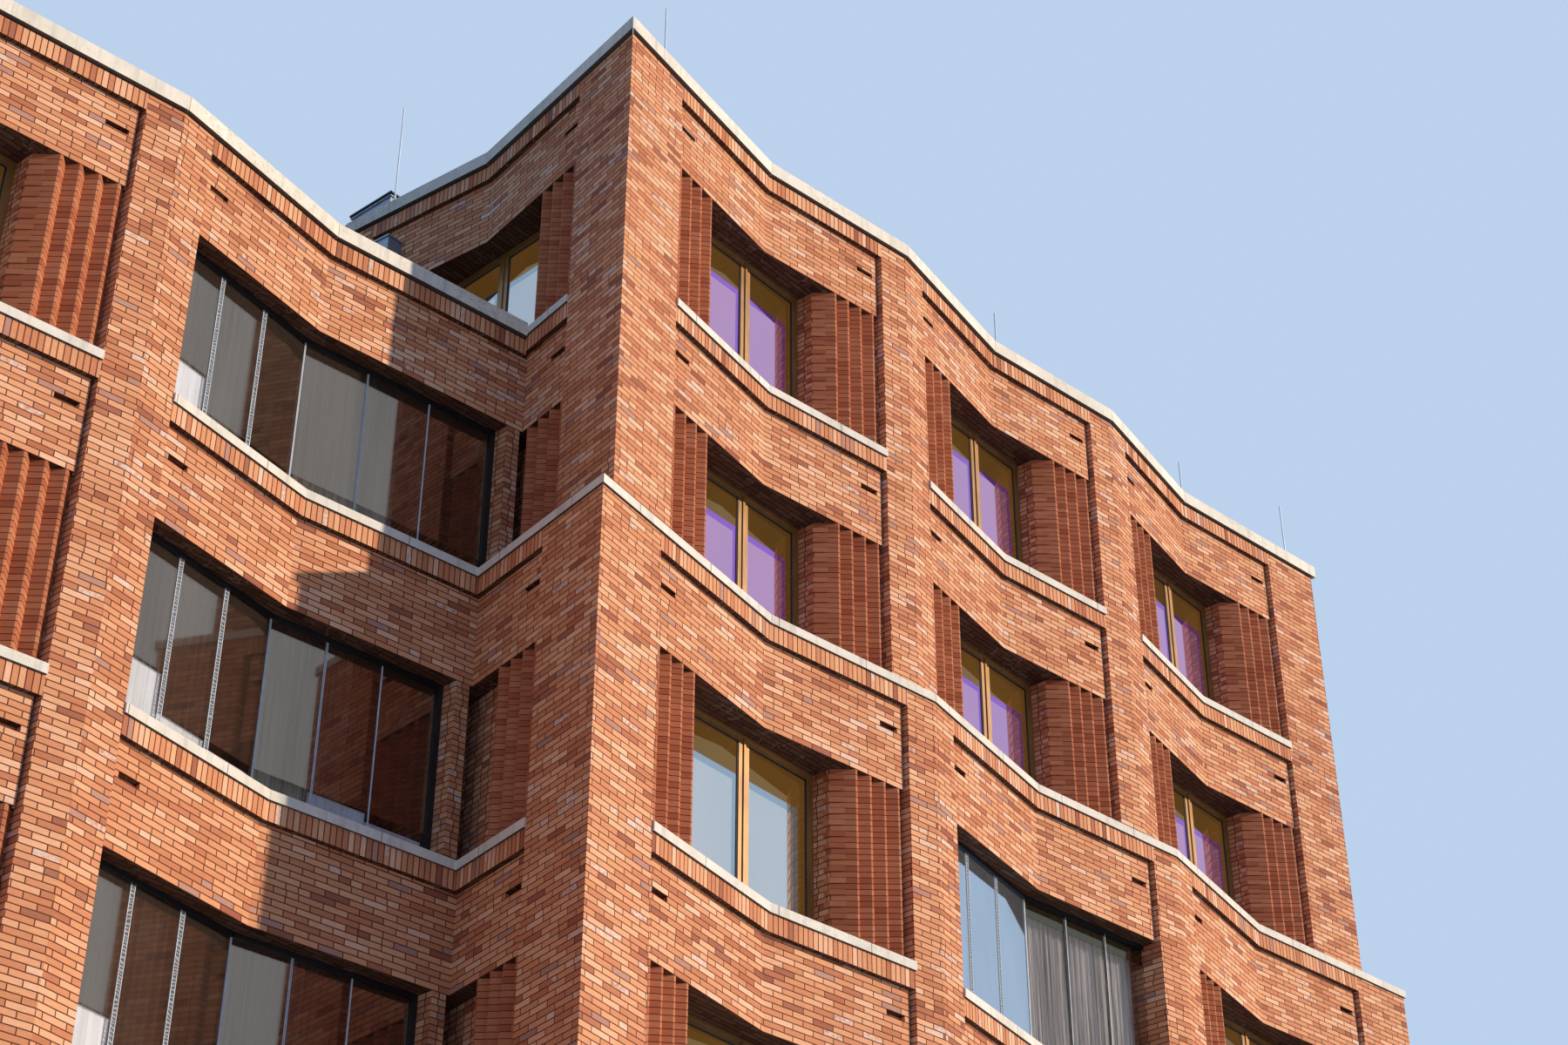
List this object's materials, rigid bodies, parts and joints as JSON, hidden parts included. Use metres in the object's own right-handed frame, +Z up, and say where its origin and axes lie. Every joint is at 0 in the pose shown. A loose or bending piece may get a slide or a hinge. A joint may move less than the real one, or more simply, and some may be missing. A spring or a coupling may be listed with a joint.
{
  "type": "corner apartment block",
  "caption": "Hollow brick corner apartment block with folded facades, sawtooth window jambs, a set-back tower top and a lower wing.",
  "frame": {"origin": "on the ground, below the front left corner of the set-back top, on the foot of the tower's corner masonry", "axes": "+X to the right along the street front, +Y into the building, +Z up"},
  "size_m": [23.1088, 14.3564, 25.175],
  "materials": {
    "facing_brick": "fired clay brick, orange to red-brown, in wild running bond with thin dark joints",
    "soldier_brick": "fired clay brick laid upright in soldier courses",
    "stone": "pale cast stone, lightly weathered",
    "bronze_frame": "satin bronze lacquer on aluminium",
    "window_glass": "double glazing with a violet-blue sheen",
    "loggia_glass": "clear frameless glass leaves",
    "white_panel": "white back-painted panel",
    "dark_metal": "dark grey lacquer",
    "concrete": "plain cast concrete",
    "roof_skin": "grey roof membrane",
    "zinc": "pre-weathered zinc sheet",
    "coping": "cream coping"
  },
  "bodies": {
    "root": {"base_piers": "facing_brick", "base_panels": "facing_brick", "base_soldiers": "soldier_brick", "base_jambs": "facing_brick", "base_sills": "stone", "base_frames": "bronze_frame", "base_glass": "window_glass", "ledge_cap": "stone", "top_piers": "facing_brick", "top_panels": "facing_brick", "top_soldiers": "soldier_brick", "top_jambs": "facing_brick", "top_sills": "stone", "top_frames": "bronze_frame", "top_glass": "window_glass", "tower_coping": "coping", "tower_floors": "concrete", "tower_roof": "roof_skin", "wing_piers": "facing_brick", "wing_panels": "facing_brick", "wing_soldiers": "soldier_brick", "wing_jambs": "facing_brick", "wing_sills": "stone", "wing_frames": "bronze_frame", "wing_glass": "window_glass", "wing_coping": "coping", "wing_floors": "concrete", "wing_roof": "roof_skin", "party_wall": "facing_brick", "loggia_rails": "dark_metal", "loggia_leaves": "loggia_glass", "loggia_panels": "white_panel", "loggia_posts": "dark_metal", "loggia_strips": "facing_brick", "entrance_frame": "bronze_frame", "entrance_doors": "bronze_frame", "entrance_glass": "window_glass", "lightning_rods": "dark_metal", "roof_vent": "zinc", "vent_lid": "dark_metal", "rain_hopper": "zinc", "rain_pipe": "zinc"}
  },
  "joints": []
}
